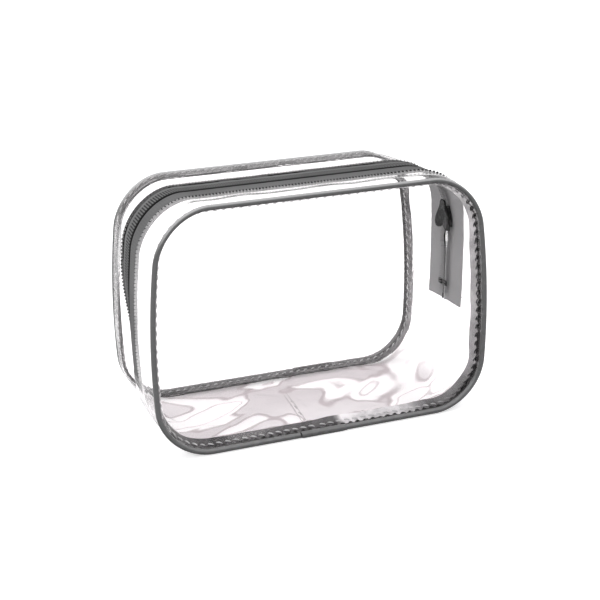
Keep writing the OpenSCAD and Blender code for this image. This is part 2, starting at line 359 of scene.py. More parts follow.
def film_panel(name, rear, seed):
    """A face of the bag. Inside the edge the points are the outline shrunk
    towards the panel's middle; at the edge the section runs along the face,
    folds back beside the bead and down the seam allowance."""
    s = np.linspace(0, LENGTH, 300, endpoint=False)
    centre = np.array([0, 0, (LOW_Z + HIGH_Z) / 2])
    share = np.linspace(0, 1, 26)[:-1, None]
    grids = []
    for seam, thick in zip(allowance(-1, rear), (0, FILM)):
        crease_shade_band = np.linspace(-13 * MM, seam[0, 0] - 0.5 * MM, 9)
        section = np.vstack([np.stack([crease_shade_band, crease_shade_band * 0 + FACE_IN + thick], -1), seam])
        edge = place(s[:, None], section[None, :, 0], section[None, :, 1], rear)
        rim = edge[:, :1]
        middle = centre + (rim - centre) * share
        middle[..., 1] = rim[..., 1]
        grid = np.concatenate([middle, edge], axis=1)
        x, z = grid[..., 0] / HALF_W, (grid[..., 2] - centre[2]) / centre[2]
        swell = np.clip((1 - x**2) * (1 - z**2), 0, 1)
        wave = ripple(grid[..., 0], grid[..., 2], 70 * MM, seed)
        face = np.ones(grid.shape[1])  # only the face swells; the allowance keeps its place
        face[-len(seam):] = 0
        grid[..., 1] += (1 if rear else -1) * face * swell * (0.6 * MM + 1.3 * MM * wave)
        grids.append(grid)
    uv = grid_uv(np.append(s, LENGTH), np.arange(grids[0].shape[1]) * MM)
    return shell(name, *grids, uv, closed=True, rims=(False, True))


def gusset_half(edge, count, rear):
    """Outer and inner section from the depth edge out to the seam: level with
    the bead in the middle, then a smooth step down to the loop."""
    t = np.linspace(0, 1, count)
    sections = []
    for seam, high in zip(allowance(1, rear), (SWELL, SWELL - FILM)):
        low, start = seam[0, 0], seam[0, 1] + 0.35 * MM
        back = edge + (start - edge) * t
        rise = smooth((back - 1.5 * MM) / (11 * MM))
        sections.append(np.vstack([np.stack([low + (high - low) * rise, back], -1), seam]))
    return sections


def film_wrinkles(s, back):
    """Height of the bottom gusset's wrinkles along its normal: slow waves, a
    pinched crease across the depth, and creases where the film is gathered
    round the two rear corners."""
    to_seam = smooth(back / (9 * MM)) * smooth((2 * MID - back) / (9 * MM))
    on_floor = smooth((RUN + 8 * MM - np.abs(s)) / (20 * MM))
    waves = 0.5 * MM * ripple(s, back, 34 * MM, 11) + 0.28 * MM * ripple(s, back, 13 * MM, 12)
    crease_line = -3 * MM + 0.12 * (back - MID)
    crease = 0.8 * MM * bell((s - crease_line) / (1.1 * MM)) * bell((back - 36 * MM) / (24 * MM))
    crease += 0.5 * MM * bell((s - crease_line - 5 * MM) / (1.6 * MM)) * bell((back - 40 * MM) / (18 * MM))
    corner = 0
    gathers = ((RUN + 22 * MM, 0.7, 1.5), (-RUN - 20 * MM, -0.6, 1.2), (RUN + 30 * MM, -0.9, 1.0))
    for middle, turn, size in gathers:
        line = s - middle - turn * (back - 62 * MM)
        corner = corner + size * MM * bell(line / (2.2 * MM)) * bell((back - 66 * MM) / (17 * MM))
    return (waves * (0.35 + 0.65 * on_floor) + crease + corner) * to_seam


def bottom_gusset():
    """The two halves of the section meet in the middle of the depth."""
    halves = zip(gusset_half(MID, 30, False), gusset_half(MID, 30, True))
    outer_section, inner_section = (
        np.vstack([front[::-1], rear[1:] * [1, -1] + [0, 2 * MID]]) for front, rear in halves)
    s = np.linspace(on_left(JOIN_LEFT) - LENGTH, on_right(JOIN_RIGHT), 230)
    grids = []
    for section in (outer_section, inner_section):
        lift = film_wrinkles(s[:, None], section[None, :, 1])
        out = section[None, :, 0] - np.abs(lift) - sunk(s[:, None], section[None, :, 1])
        grids.append(place(s[:, None], out, section[None, :, 1]))
    return shell("bottom_gusset_film", *grids, film_uv(s, outer_section))


def zip_strip(name, rear, seed):
    """Strip of film from the seam to its lap over the tape. Its lap edge
    waves slightly."""
    sections = gusset_half(LAP_EDGE, 18, rear)
    s = np.linspace(on_right(JOIN_RIGHT), on_left(JOIN_LEFT), 260)
    grids = []
    for section in sections:
        back = section[None, :, 1]
        middle = smooth(back / (8 * MM)) * smooth((LAP_EDGE - back + 3 * MM) / (9 * MM))
        wave = 0.35 * MM * middle * ripple(s[:, None], back, 30 * MM, seed)
        out = section[None, :, 0] + wave - sunk(s[:, None], back, rear)
        grids.append(place(s[:, None], out, back, rear))
    return shell(name, *grids, film_uv(s, sections[0]))


# ---------------------------------------------------------------------------
# Corded edges
# ---------------------------------------------------------------------------
def piping_cover(name, rear, seed):
    """Strip of vinyl folded round the cord: down one face of the flange, once
    round the bead and up the other face. The outer grid is its outside, the
    inner grid its inside, a vinyl's thickness away. The flange waves."""
    s = np.linspace(0, LENGTH, 330, endpoint=False)
    width = SEAM_W[rear]
    down = width - (width - 1.95 * MM) * np.array([0, 0.07, 0.17, 0.3, 0.46, 0.62, 0.77, 0.87, 0.95, 1])
    lift = 0.35 * MM * ripple(s, 0 * s, 26 * MM, seed)[:, None]
    spread = 0.45 * MM * ripple(s, 0 * s, 17 * MM, seed + 50)[:, None]
    a = np.linspace(-0.42, 0.42 - 2 * math.pi, 28)
    depth = np.concatenate([down, 0 * a, down[::-1]])
    share = (depth / width) ** 2
    grids = []
    for radius, half in ((BEAD_R, FLANGE_HALF), (BEAD_R - VINYL, FLANGE_HALF - VINYL + 0.02 * MM)):
        section = np.vstack([
            along_seam(down, -half, rear), along_seam(radius * np.cos(a), radius * np.sin(a), rear),
            along_seam(down[::-1], half, rear)])
        moved = section + along_seam(share * spread, share * lift, rear)
        grids.append(place(s[:, None], moved[..., 0], moved[..., 1], rear))
    return shell(name, *grids, grid_uv(np.append(s, LENGTH), depth), closed=True, sharp=50)


def piping_join(name, rear):
    """Lap of the cover over its own other end: a slightly fuller stretch of
    bead, open underneath where it would touch the table, with turned ends."""
    low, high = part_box("rear_piping_join" if rear else "front_piping_join")
    s = np.linspace(low.x, high.x, 40)
    a = np.radians(np.linspace(-128, 128, 28)) + math.radians(180)
    full = 0.33 * MM * smooth((s - low.x) / (0.7 * MM)) * smooth((high.x - s) / (6 * MM) + 0.35)
    grids = []
    for extra in (full + 0.06 * MM, 0 * full - 0.1 * MM):
        r = BEAD_R + extra[:, None]
        section = along_seam(r * np.cos(a)[None], r * np.sin(a)[None], rear)
        out = np.minimum(section[..., 0], BEAD_R - 0.02 * MM)
        grids.append(place(s[:, None], out, section[..., 1], rear))
    return shell(name, *grids, grid_uv(s, 0 * a))


# ---------------------------------------------------------------------------
# Zip
# ---------------------------------------------------------------------------
ZIP_START, ZIP_STOP = on_right(END_RIGHT), on_left(END_LEFT)
PARTED = on_right(SLIDER_Z)             # the zip is undone before this point


def half_gap(s):
    """Half the gap between the tapes: nothing where the zip is done up, a
    narrow slit below the slider, and widest at the slider's mouths."""
    undone = smooth((PARTED - s) / (5 * MM))
    mouth = bell((s - on_right(SLIDER_Z - 12.5 * MM)) / (4.2 * MM))
    return 0.3 * MM + undone * (0.75 * MM + 1.3 * MM * mouth)


def zip_tape(name, rear, seed):
    """Woven tape: flat under the lap, raised a little over the coil, and
    curled in where it meets the other tape."""
    s = np.linspace(ZIP_START, ZIP_STOP, 420)
    gap = half_gap(s)[:, None]
    outer = MM * spline([
        (1.0, -18.4), (1.0, -12), (1.0, -6.5), (1.12, -4.6), (1.3, -2.9), (1.2, -1.5),
        (0.85, -0.6), (0.2, -0.12), (-0.5, 0)], 34)
    normal = np.gradient(outer, axis=0)
    normal = np.stack([-np.abs(normal[:, 1]), -np.abs(normal[:, 0]) * (normal[:, 0] < 0)], -1)
    normal /= np.linalg.norm(normal, axis=1, keepdims=True)
    grids = []
    for section in (outer, outer + normal * TAPE_T):
        pull = smooth((section[None, :, 1] + 14 * MM) / (13 * MM))
        back = MID + section[None, :, 1] - gap * pull
        flat = smooth((-section[None, :, 1] - 5 * MM) / (6 * MM))
        wave = 0.12 * MM * flat * ripple(s[:, None], back, 22 * MM, seed)
        out = section[None, :, 0] + wave - sunk(s[:, None], back, rear)
        grids.append(place(s[:, None], out, back, rear))
    uv = film_uv(s, outer)
    uv[..., 1] = uv[..., 1].max() - uv[..., 1]
    return shell(name, *grids, uv, sharp=60)


# one turn of the coil along the zip, the coil's width and height, its wire's radius
COIL_PITCH, COIL_W, COIL_H, WIRE = 1.5 * MM, 3.9 * MM, 2.2 * MM, 0.21 * MM


def zip_coil(name, rear):
    """Coil of monofilament: an oval loop, flattened like a superellipse, whose
    axis runs along the tape's inside. The two coils are half a turn apart, so
    their loops mesh where the zip is done up."""
    start, stop = ZIP_START + 4 * MM, ZIP_STOP - 4 * MM
    turns = (stop - start) / COIL_PITCH
    t = np.linspace(0, turns, int(turns * 12))
    s = start + t * COIL_PITCH
    angle = 2 * math.pi * (t + (0.5 if rear else 0.0))
    side, rise = (np.sign(wave) * np.abs(wave) ** 0.75 for wave in (np.cos(angle), np.sin(angle)))
    axis_back = MID - COIL_W / 2 + 0.35 * MM - (half_gap(s) - 0.3 * MM) * 1.25
    axis_out = 0.35 * MM - COIL_H / 2 - 0.2 * MM - sunk(s, MID)
    out, back = axis_out + (COIL_H / 2 - WIRE) * rise, axis_back + (COIL_W / 2 - WIRE) * side
    points = place(s, out, back, rear)
    return tube(name, points, points - place(s, axis_out, axis_back, rear), WIRE, 5)


# ---------------------------------------------------------------------------
# Threads
# ---------------------------------------------------------------------------
def stitch_profile(radius):
    """Places t along a stitch, angles round it, its half thickness and how far
    it bows out."""
    t = np.linspace(-1, 1, 6)
    a = np.linspace(0, 2 * math.pi, 6, endpoint=False)
    return t, a, radius * np.sqrt(np.clip(1 - t**4, 0, 1)), radius * (0.9 - 1.5 * t**2)


def stitch_mesh(name, grid, along, a, radius):
    """One thread for each block of a (stitch, along, round) grid of points."""
    count, rows, columns = grid.shape[:3]
    faces = grid_faces(rows, columns, close_columns=True)
    faces = (faces[None] + rows * columns * np.arange(count)[:, None, None]).reshape(-1, 4)
    uv = [np.broadcast_to(value, grid.shape[:-1]).ravel() for value in (along, a * radius)]
    return mesh_object(name, grid.reshape(-1, 3), faces, np.stack(uv, -1), 80)


def stitches(name, s, out, back, lean, length, radius, rear=False, slant=0.0):
    """A row of stitches at the distances s: each is a short thread that bows
    out along lean, a unit (out, back) pair, and dives in at both ends. slant
    is how far it runs across its row."""
    t, a, fat, bow = stitch_profile(radius)
    lean = np.asarray(lean)
    beside = np.array([-lean[1], lean[0]])
    off = (bow[:, None] + fat[:, None] * np.cos(a))[..., None] * lean
    off = off + (fat[:, None] * np.sin(a))[..., None] * beside
    off = off + (t[:, None] * slant / 2)[..., None] * beside
    along = np.repeat(t[:, None] * length / 2, len(a), 1)
    s, out = (np.asarray(value)[..., None, None] for value in (s, out))
    grid = place(s + along, out + off[None, ..., 0], back + off[None, ..., 1], rear)
    return stitch_mesh(name, grid, along, a, radius)


SEAM_STITCH = 4.4 * MM                  # from the bead's middle down the allowance


def seam_stitches(name, rear):
    """Stitches on both faces of a corded seam, half a stitch apart."""
    pitch = 4.9 * MM
    s = np.arange(0, LENGTH - pitch / 2, pitch)
    made = []
    for side in (-1, 1):
        out, back = along_seam(SEAM_STITCH, side * (LAYER + FILM + 0.02 * MM), rear)
        at, lean = s + side * pitch / 4, along_seam(0, side, rear)
        made.append(stitches("part", at, out, back, lean, 3.6 * MM, 0.38 * MM, rear, 1.3 * MM))
    return join(name, made)


def lap_stitches(name, rear):
    """Stitches through the lap of film over the tape, near its edge."""
    s = np.arange(on_right(JOIN_RIGHT) + 1 * MM, on_left(JOIN_LEFT), 2.0 * MM)
    back = LAP_EDGE - 1.5 * MM
    out = SWELL + 0.02 * MM - sunk(s, back, rear)
    return stitches(name, s, out, back, (1, 0), 0.8 * MM, 0.42 * MM, rear, 1.7 * MM)


def side_stitches(name, z, on_the_left):
    """Row of stitches across the depth that holds the tapes' ends."""
    y = np.arange(-16.5, 17, 3.0) * MM
    radius = 0.2 * MM
    t, a, fat, bow = stitch_profile(radius)
    s = on_left(z) if on_the_left else on_right(z)
    back = MID + y[:, None, None] + (t * 1.1 * MM)[None, :, None] + 0 * a
    out = SWELL - sunk(s, back) + bow[None, :, None] + fat[None, :, None] * np.cos(a) + 0 * back
    grid = place(s + fat[None, :, None] * np.sin(a) + 0 * back, out, back)
    return stitch_mesh(name, grid, back, a, radius)


# ---------------------------------------------------------------------------
# Slider and pull tab
# ---------------------------------------------------------------------------
def plate(outline, centre, low, high, edge, hollow=0.0):
    """Flat casting whose outline is a closed loop of (y, z) points, star shaped
    round the centre. Rings run from the middle of one face over a rounded rim
    of radius edge to the middle of the other; hollow sinks the far face."""
    along = np.roll(outline, -1, 0) - np.roll(outline, 1, 0)
    normal = np.stack([along[:, 1], -along[:, 0]], -1)
    normal /= np.linalg.norm(normal, axis=1, keepdims=True)
    normal *= np.sign(((centre - outline) * normal).sum())
    turn = np.radians([90, 65, 40, 18, 0])
    rings, heights = [], []
    for share in (0.02, 0.35, 0.7, 0.9):
        rings.append(centre + (outline + normal * edge * 1.6 - centre) * share)
        heights.append(high - hollow * smooth((0.95 - share) / 0.3))
    for a in turn:
        rings.append(outline + normal * edge * (1 - math.cos(a)))
        heights.append(high - edge * (1 - math.sin(a)))
    for a in turn[::-1]:
        rings.append(outline + normal * edge * (1 - math.cos(a)))
        heights.append(low + edge * (1 - math.sin(a)))
    for share in (0.7, 0.35, 0.02):
        rings.append(centre + (outline + normal * edge * 1.6 - centre) * share)
        heights.append(low)
    rings = np.array(rings)
    heights = np.array(heights)[:, None]
    grid = np.stack(np.broadcast_arrays(heights, rings[..., 0], rings[..., 1]), -1)
    return capped("part", grid, [[heights[0, 0], *centre], [heights[-1, 0], *centre]])


def loop(points, count=96):
    """Closed Catmull-Rom loop through the points, evenly spaced by length."""
    p = np.vstack([points[-2:], points, points[:3]])
    dense = spline(p, 1400)
    seam = len(dense) // (len(p) - 1)
    dense = dense[2 * seam: -2 * seam]
    first = np.argmin(np.linalg.norm(dense[: len(dense) // 3] - np.asarray(points[0]), axis=1))
    gap = np.linalg.norm(dense[len(dense) // 2:] - dense[first], axis=1)
    dense = dense[first: len(dense) // 2 + np.argmin(gap) + 1]
    run = np.concatenate([[0], np.cumsum(np.linalg.norm(np.diff(dense, axis=0), axis=1))])
    want = np.linspace(0, run[-1], count, endpoint=False)
    return np.stack([np.interp(want, run, dense[:, k]) for k in (0, 1)], -1)


def mirrored(half):
    """Loop that starts on the middle line, from its right half."""
    half = np.asarray(half, float)
    return np.vstack([half, (half * [-1, 1])[-2:0:-1]])


def sweep(points, aside, section):
    """Closed (a, b) section carried along points: a along aside, b along its
    cross product with the tangent. Ends are closed with fans."""
    tangent = np.gradient(points, axis=0)
    tangent /= np.linalg.norm(tangent, axis=1, keepdims=True)
    aside = np.broadcast_to(np.asarray(aside, float), points.shape)
    other = np.cross(tangent, aside)
    grid = points[:, None] + aside[:, None] * section[None, :, :1] + other[:, None] * section[None, :, 1:]
    return capped("part", grid, points[[0, -1]])


def rounded_box_section(width, height, corner):
    """Rectangle with rounded corners, as (a, b) points about its middle."""
    a = np.linspace(0, QUARTER_TURN, 5)
    parts = []
    for k, (sx, sy) in enumerate(((1, 1), (-1, 1), (-1, -1), (1, -1))):
        t = a + k * QUARTER_TURN
        parts.append(np.stack([
            sx * (width / 2 - corner) + corner * np.cos(t),
            sy * (height / 2 - corner) + corner * np.sin(t)], -1))
    return np.vstack(parts)


def slider():
    """Two shield-shaped plates, the walls that guide the coils, the wedge that
    parts them and the bridge that the pull tab hangs from."""
    x0, x3 = slider_low.x, slider_low.x + 6.3 * MM
    z0, z1 = slider_low.z, slider_high.z
    half = np.array([
        (0.0, 16.9), (1.3, 16.9), (2.3, 16.2), (2.75, 14.6), (3.7, 12.4), (5.4, 9.8), (7.1, 7.2),
        (8.3, 4.7), (8.5, 2.5), (7.6, 0.7), (5.7, 0.1), (3.6, 0.3), (1.9, 1.3), (0.8, 2.5), (0.0, 2.9)]) * MM
    half[:, 1] *= (z1 - z0) / (17 * MM)
    shield = loop(mirrored(half + [0, z0]))
    middle = np.array([0, z0 + 7.6 * MM])
    thick = 1.2 * MM
    parts = [
        plate(shield, middle, x0, x0 + thick, 0.45 * MM),
        plate(shield, middle, x3 - thick, x3, 0.45 * MM, hollow=0.15 * MM),
    ]
    wall = rounded_box_section(1.1 * MM, 2.7 * MM, 0.3 * MM)
    for side in (-1, 1):
        z = np.linspace(z0 + 2.2 * MM, z0 + 13.6 * MM, 12)
        y = side * (5.45 * MM - 2.9 * MM * smooth((z - z0 - 6.5 * MM) / (8 * MM)))
        line = np.stack([np.full(12, x0 + thick + 1.2 * MM), y, z], -1)
        parts.append(sweep(line, (0, 1, 0), wall))
    wedge = np.array([(0, 8.8), (0.7, 8.2), (1.3, 6.6), (1.1, 4.6), (0.45, 3.1), (0, 2.9)]) * MM
    wedge = loop(mirrored(wedge + [0, z0]), 32)
    parts.append(plate(wedge, np.array([0, z0 + 6 * MM]), x0 + thick * 0.8, x3 - thick * 0.8, 0.1 * MM))
    z = np.array([3.6, 3.9, 5.0, 7.0, 8.5, 10.0, 12.0, 13.1, 13.4]) * MM + z0
    x = np.array([-0.6, 0.9, 2.35, 3.0, 3.05, 3.0, 2.35, 0.9, -0.6]) * MM + x3
    arch = spline(np.stack([x, 0 * x, z], -1), 36)
    parts.append(sweep(arch, (0, 1, 0), rounded_box_section(2.8 * MM, 1.1 * MM, 0.4 * MM)))
    return join("slider_casting", parts)


def tab():
    """Flat tab: rings run from the rim of its window to its outline over both
    faces, with rounded edges, a raised border and cross ribs for grip."""
    x = (tab_low.x + tab_high.x) / 2
    top, bottom = tab_high.z, tab_low.z
    half = np.array([
        (0.0, 0.0), (1.4, 0.02), (2.7, 0.45), (3.5, 1.9), (3.75, 4.5), (3.85, 9.0), (4.05, 14), (4.3, 20),
        (4.45, 25.5), (4.2, 28.6), (2.9, 30.2), (1.2, 30.7), (0.0, 30.75)]) * MM
    half[:, 1] *= (top - bottom) / (30.75 * MM)
    outline = loop(mirrored(half * [1, -1] + [0, top]), 120)
    hole = np.array([
        (0.0, 1.5), (1.2, 1.55), (1.95, 2.2), (2.1, 4.0), (2.1, 7.4), (1.75, 9.1), (0.8, 9.75),
        (0.0, 9.8)]) * MM
    hole = loop(mirrored(hole * [1, -1] + [0, top]), 120)
    share = np.concatenate([np.linspace(0, 0.14, 5), np.linspace(0.2, 0.86, 24), np.linspace(0.9, 1, 6)])
    flat = hole[None] + (outline - hole)[None] * share[:, None, None]
    gap = np.linalg.norm(outline - hole, axis=1)[None]
    to_rim = np.minimum(share[:, None], 1 - share[:, None]) * gap
    edge = 0.45 * MM
    lie = 0.75 * MM - edge + np.sqrt(np.clip(edge**2 - np.clip(edge - to_rim, 0, edge) ** 2, 0, None))
    down = top - flat[..., 1]
    inside = smooth((to_rim - 0.9 * MM) / (0.5 * MM)) * smooth((down - 12 * MM) / (1.5 * MM))
    ribs = 0.5 + 0.5 * np.cos(down / (1.5 * MM) * 2 * math.pi)
    grip = smooth((down - 19 * MM) / (1 * MM)) * smooth((29 * MM - down) / (1 * MM))
    lie = lie - 0.28 * MM * inside * (1 - ribs * grip * 0.9)
    front = np.concatenate([(x + lie)[..., None], flat], -1)
    back = np.concatenate([(x - lie)[..., None], flat], -1)[::-1]
    grid = np.concatenate([front, back]).transpose(1, 0, 2)
    rows, columns = grid.shape[:2]
    faces = grid_faces(rows, columns, True, True)
    return mesh_object("pull_tab_casting", grid.reshape(-1, 3), faces, grid.reshape(-1, 3)[:, 1:], 35)


def end_tack():
    """Bar tack: close zigzag turns of dark thread over a short line."""
    low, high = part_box("zip_end_tack")
    count = 15
    t = np.linspace(0, 1, count * 12)
    y = low.y + 0.3 * MM + (high.y - low.y - 0.6 * MM) * t
    angle = t * count * 2 * math.pi
    z = (low.z + high.z) / 2 + 0.62 * MM * np.cos(angle)
    x = (low.x + high.x) / 2 + 0.16 * MM * np.sin(angle)
    points = np.stack([x, y, z], -1)
    aside = np.stack([0 * x + 1, 0 * y, 0 * z], -1)
    return tube("zip_end_bartack", points, aside, 0.17 * MM, 6)


# ---------------------------------------------------------------------------
# Shader nodes: the helpers find the node tree from the sockets they are given
# ---------------------------------------------------------------------------
def feed(socket, value):
    """Link the input socket to another socket, or set its value."""
    if isinstance(value, bpy.types.NodeSocket):
        socket.id_data.links.new(value, socket)
    else:
        socket.default_value = value


def add(tree, kind, inputs=None, **settings):
    """New node with its settings and inputs, each a value or a socket."""
    node = tree.nodes.new("ShaderNode" + kind)
    for key, value in settings.items():
        setattr(node, key, value)
    for key, value in (inputs or {}).items():
        feed(node.inputs[key], value)
    return node


def calc(operation, *values):
    """Math node; its first value is a socket."""
    return add(values[0].id_data, "Math", dict(enumerate(values)), operation=operation).outputs[0]


def mul(a, b):
    return calc("MULTIPLY", a, b)


def mul_add(a, b, c):
    return calc("MULTIPLY_ADD", a, b, c)


def sine(x, period):
    return calc("SINE", mul(x, 2 * math.pi / period))


def axes(vector):
    """The vector's three parts."""
    return add(vector.id_data, "SeparateXYZ", {0: vector}).outputs


def ramp(value, low, high, out_low=0.0, out_high=1.0):
    """Smooth step from out_low at low to out_high at high."""
    inputs = {"Value": value, "From Min": low, "From Max": high, "To Min": out_low, "To Max": out_high}
    return add(value.id_data, "MapRange", inputs, interpolation_type="SMOOTHSTEP").outputs[0]


def blend(share, a, b, mode="MIX"):
    """Colour a where the share is 0 and b where it is 1."""
    tree = (share if isinstance(share, bpy.types.NodeSocket) else a).id_data
    return add(tree, "Mix", {0: share, 6: a, 7: b}, data_type="RGBA", blend_type=mode).outputs[2]


def noise(vector, scale, detail=3.0, roughness=0.5, distortion=0.0):
    return add(vector.id_data, "TexNoise", {
        "Vector": vector, "Scale": scale, "Detail": detail, "Roughness": roughness,
        "Distortion": distortion}).outputs["Fac"]


def bump(height, strength, distance):
    inputs = {"Height": height, "Strength": strength, "Distance": distance}
    return add(height.id_data, "Bump", inputs).outputs[0]


def grey(value):
    return (value, value, value * 1.01, 1)


def node_group(name, build, outputs, scales=()):
    """Group that takes a vector and the scales, (name, default) pairs, and
    whose build turns the input sockets into the named float outputs."""
    tree = bpy.data.node_groups.new(name, "ShaderNodeTree")
    tree.interface.new_socket(name="Vector", in_out="INPUT", socket_type="NodeSocketVector")
    for socket, value in scales:
        made = tree.interface.new_socket(name=socket, in_out="INPUT", socket_type="NodeSocketFloat")
        made.default_value = value
    for socket in outputs:
        tree.interface.new_socket(name=socket, in_out="OUTPUT", socket_type="NodeSocketFloat")
    start, end = tree.nodes.new("NodeGroupInput"), tree.nodes.new("NodeGroupOutput")
    for socket, value in build(start.outputs).items():
        tree.links.new(value, end.inputs[socket])
    return tree


def use(group, inputs):
    """Outputs of the group, placed in the tree that its Vector comes from."""
    node = inputs["Vector"].id_data.nodes.new("ShaderNodeGroup")
    node.node_tree = group
    for key, value in inputs.items():
        feed(node.inputs[key], value)
    return node.outputs


def build_wrinkles(given):
    """Slow waves and fine ripples of soft plastic, as a height from 0 to 1."""
    slow = noise(given["Vector"], given["Slow Scale"], 2.0, 0.5, 0.4)
    fine = noise(given["Vector"], given["Fine Scale"], 3.0, 0.6)
    height = calc("ADD", mul(slow, 0.8), mul(fine, given["Fine Share"]))
    return {"Height": height, "Mask": ramp(slow, 0.35, 0.65)}


def build_weave(given):
    """Ribs along the tape crossed by slanted weft, and the coil's raised ribs
    in a band beside the middle. Distances along and across are in metres."""
    along, across, _ = axes(given["Vector"])
    warp = sine(across, 0.62 * MM)
    weft = calc("SINE", calc("ADD", mul(along, 2 * math.pi / (0.5 * MM)), mul(warp, 1.3)))
    cloth = mul_add(warp, 0.2, mul_add(mul(warp, weft), 0.25, 0.5))
    rib = mul_add(sine(along, COIL_PITCH), 0.5, 0.5)
    band = mul(ramp(across, 0.9 * MM, 1.4 * MM), ramp(across, 10.5 * MM, 12.5 * MM, 1.0, 0.0))
    return {"Cloth": cloth, "Ribs": mul(band, rib), "Band": band}


def build_twist(given):
    """Strands of twisted thread: slanted bands round it."""
    along, around, _ = axes(given["Vector"])
    return {"Height": mul_add(sine(calc("ADD", along, mul(around, 0.9)), 0.45 * MM), 0.5, 0.5)}


def build_scuffs(given):
    """Fine scratches and rubbed patches of a coated casting."""
    patches = noise(given["Vector"], given["Scale"], 4.0, 0.6, 0.6)
    grain = noise(given["Vector"], 3200.0, 2.0)
    return {"Rubbed": mul(ramp(patches, 0.5, 0.64), ramp(grain, 0.4, 0.65)), "Grain": grain}


WRINKLES = node_group("plastic_wrinkles", build_wrinkles, ("Height", "Mask"),
                      (("Slow Scale", 40.0), ("Fine Scale", 200.0), ("Fine Share", 0.2)))
WEAVE = node_group("tape_weave", build_weave, ("Cloth", "Ribs", "Band"))
TWIST = node_group("thread_twist", build_twist, ("Height",))
SCUFFS = node_group("casting_scuffs", build_scuffs, ("Rubbed", "Grain"), (("Scale", 300.0),))


# ---------------------------------------------------------------------------
# Materials
# ---------------------------------------------------------------------------
def new_material(name):
    """Empty material, its node tree and its texture coordinates."""
    made = bpy.data.materials.new(name)
    made.use_nodes = True
    made.node_tree.nodes.clear()
    return made, made.node_tree, add(made.node_tree, "TexCoord").outputs


def show(tree, shader, output="Material"):
    """Link the shader to the tree's output."""
    end = tree.nodes.new("ShaderNodeOutput" + output)
    tree.links.new(shader.outputs[0], end.inputs["Surface"])


def painted_floor_shade(where, colour):
    """The film's colour with painted light laid over it on the bag's floor: painted shade, greyer where the
    floor under the bag is shaded, with paler flowing patches of painted reflection that have a thin darker
    outline, and painted shade along a double crease."""
    across, depth, height = axes(where)
    stretched = add(where.id_data, "Mapping", {"Vector": where, "Scale": (0.75, 1.0, 1.0)}).outputs[0]
    flow = noise(stretched, 17.0, 2.0, 0.35, 1.6)
    flow = calc("ADD", flow, ramp(across, -10 * MM, 85 * MM, -0.01, 0.09))
    shade_patches = ramp(noise(stretched, 9.0, 2.0), 0.35, 0.65)
    outline = mul(ramp(flow, 0.478, 0.495), ramp(flow, 0.5, 0.52, 1.0, 0.0))
    second = mul(ramp(flow, 0.575, 0.585), ramp(flow, 0.59, 0.6, 1.0, 0.0))
    crease = calc("ADD", mul_add(depth, -0.12, across), 3 * MM)
    crease = calc("ABSOLUTE", calc("SUBTRACT", calc("ABSOLUTE", crease), 1.1 * MM))
    crease = mul(ramp(crease, 0.15 * MM, 0.45 * MM, 0.5, 0.0), ramp(depth, 8 * MM, 18 * MM, 1.0, 0.0))
    # painted shade where the floor under the bag is shaded, paler patches of painted reflection, and painted
    # shade along the crease
    painted_floor = blend(shade_patches, (0.64, 0.61, 0.62, 1), (0.75, 0.726, 0.734, 1))
    painted_floor = blend(ramp(flow, 0.5, 0.53), painted_floor, (0.88, 0.872, 0.872, 1))
    painted_floor = blend(mul(outline, 0.8), painted_floor, (0.52, 0.47, 0.485, 1))
    painted_floor = blend(mul(second, 0.7), painted_floor, (0.58, 0.525, 0.54, 1))
    painted_floor = blend(crease, painted_floor, (0.36, 0.33, 0.34, 1))
    return blend(ramp(height, 3 * MM, 14 * MM, 1.0, 0.0), colour, painted_floor)


def film_material(name, tint, shaded_floor=False):
    """Clear soft film: thin glass that lets lamps through, with slow waves in its surface. On the bag's
    floor its colour carries painted shade and painted reflection."""
    made, tree, coords = new_material(name)
    where = coords["Object"]
    waves = use(WRINKLES, {"Vector": where, "Slow Scale": 28.0, "Fine Scale": 210.0, "Fine Share": 0.1})
    colour = blend(waves["Mask"], tint, tuple(min(1, c * 1.012) for c in tint[:3]) + (1,))
    glass = add(tree, "BsdfPrincipled", {
        "Base Color": painted_floor_shade(where, colour) if shaded_floor else colour,
        "Roughness": ramp(waves["Mask"], 0, 1, 0.02, 0.05), "IOR": 1.1, "Transmission Weight": 1.0,
        "Normal": bump(waves["Height"], 0.35, 1.2 * MM)})
    clear = add(tree, "BsdfTransparent", {"Color": (0.97, 0.96, 0.965, 1)})
    to_lamp = add(tree, "LightPath").outputs["Is Shadow Ray"]
    show(tree, add(tree, "MixShader", {0: to_lamp, 1: glass.outputs[0], 2: clear.outputs[0]}))
    return made


